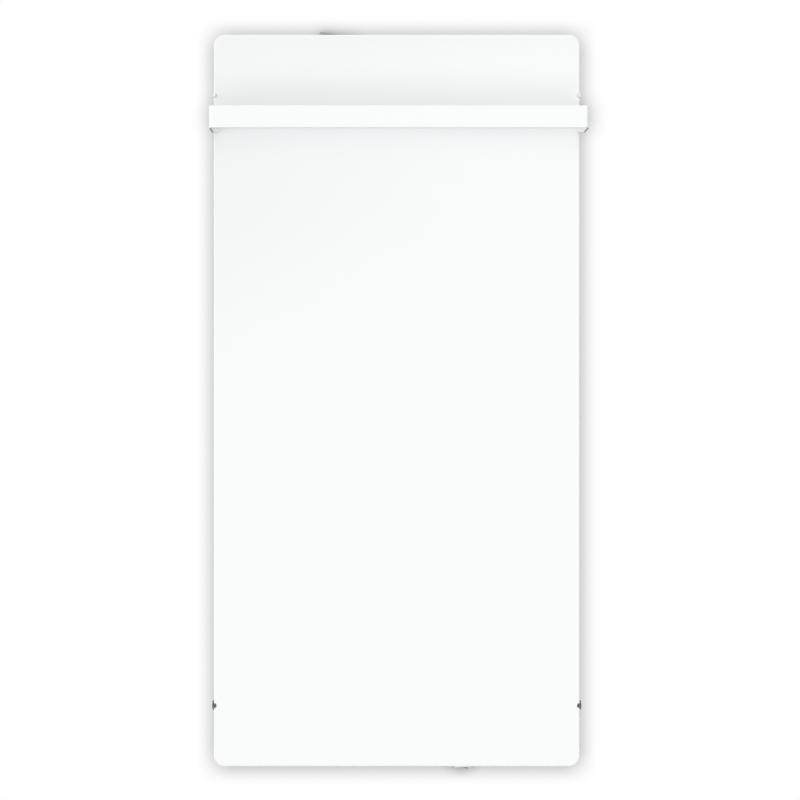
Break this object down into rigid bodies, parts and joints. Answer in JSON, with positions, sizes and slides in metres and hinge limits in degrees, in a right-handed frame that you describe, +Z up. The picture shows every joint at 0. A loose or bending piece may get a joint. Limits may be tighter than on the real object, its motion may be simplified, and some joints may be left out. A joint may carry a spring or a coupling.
{
  "type": "electric towel radiator",
  "caption": "Flat glass-fronted electric wall radiator with one flat towel bar, rear tray, wall frame with locking lever, and a rocker switch underneath.",
  "frame": {"origin": "centre of the rectangle of four wall fixings, on the wall plane, which is also the centre of the glass as seen from the front", "axes": "+X to the right as seen from the room, +Y into the wall, +Z up; the glass faces -Y"},
  "size_m": [0.5139, 0.103, 1.0182],
  "materials": {
    "white_glass": "gloss, enamelled white on its back",
    "white_paint": "satin powder coat",
    "galvanised_steel": "zinc coated, matt",
    "zinc_fastener": "bright zinc",
    "aluminium": "rolled foil",
    "heating_film": "printed film",
    "copper": "copper strip",
    "insulation": "pressed fibre board",
    "silicone": "translucent white silicone",
    "black_nylon": "moulded",
    "white_nylon": "moulded",
    "black_rubber": "moulded",
    "circuit_board": "solder masked laminate",
    "brown_lead": "silicone covered wire",
    "blue_lead": "silicone covered wire",
    "earth_lead": "green and yellow covered wire"
  },
  "bodies": {
    "wall_frame": {"wall_rail_upper": "galvanised_steel", "wall_rail_lower": "galvanised_steel", "wall_strut_left": "galvanised_steel", "wall_strut_right": "galvanised_steel", "frame_rivets": "zinc_fastener", "lever_pivot": "zinc_fastener"},
    "radiator": {"front_glass": "white_glass", "glass_bond": "silicone", "heating_film": "heating_film", "bus_bars": "copper", "heat_spreader": "aluminium", "insulation_board": "insulation", "rear_tray": "white_paint", "hanger_left": "galvanised_steel", "hanger_right": "galvanised_steel", "hanger_rivets": "zinc_fastener", "spacer_left": "black_nylon", "spacer_right": "black_nylon", "spacer_screws": "zinc_fastener", "glass_clip_upper_left": "white_nylon", "glass_clip_upper_right": "white_nylon", "glass_clip_lower_left": "black_nylon", "glass_clip_lower_right": "black_nylon", "clip_screws": "zinc_fastener", "bar_bracket_left": "white_paint", "bar_bracket_right": "white_paint", "bar_studs": "zinc_fastener", "bracket_rivets": "zinc_fastener", "control_housing": "white_nylon", "control_cover": "white_nylon", "cover_screws": "zinc_fastener", "housing_screws": "zinc_fastener", "lead_grommet": "black_rubber", "control_board": "circuit_board", "relay": "black_nylon", "power_module": "black_nylon", "board_connector": "white_nylon", "board_capacitors": "black_nylon", "terminal_block": "white_nylon", "terminal_screws": "zinc_fastener", "cord_gland": "black_nylon", "gland_locknut": "black_nylon", "gland_seal": "black_rubber", "gland_nut": "black_nylon", "switch_frame": "black_nylon", "switch_terminals": "copper", "overheat_cutouts": "aluminium", "live_lead_lower": "brown_lead", "live_lead_upper": "brown_lead", "live_lead_tap": "brown_lead", "neutral_lead": "blue_lead", "earth_lead": "earth_lead", "temperature_probe": "black_nylon", "earth_stud": "copper", "earth_nut": "copper"},
    "towel_bar": {"towel_bar": "white_paint", "foot_pad_left": "silicone", "foot_pad_right": "silicone"},
    "lock_lever": {"lock_lever": "galvanised_steel"},
    "rocker": {"rocker": "black_nylon"}
  },
  "joints": [
    {"name": "radiator_lift", "type": "slide", "parent": "wall_frame", "child": "radiator", "axis": [0, 0, 1], "range_m": [0, 0.006]},
    {"name": "towel_bar_lift", "type": "slide", "parent": "radiator", "child": "towel_bar", "axis": [0, 0, 1], "range_m": [0, 0.008]},
    {"name": "lock_turn", "type": "hinge", "parent": "wall_frame", "child": "lock_lever", "pos_m": [-0.1092, -0.0078, 0.43209], "axis": [0, -1, 0], "range_deg": [0, 35]},
    {"name": "switch_rock", "type": "hinge", "parent": "radiator", "child": "rocker", "pos_m": [0.091, -0.0148, -0.503], "axis": [0, -1, 0], "range_deg": [0, 18]}
  ]
}
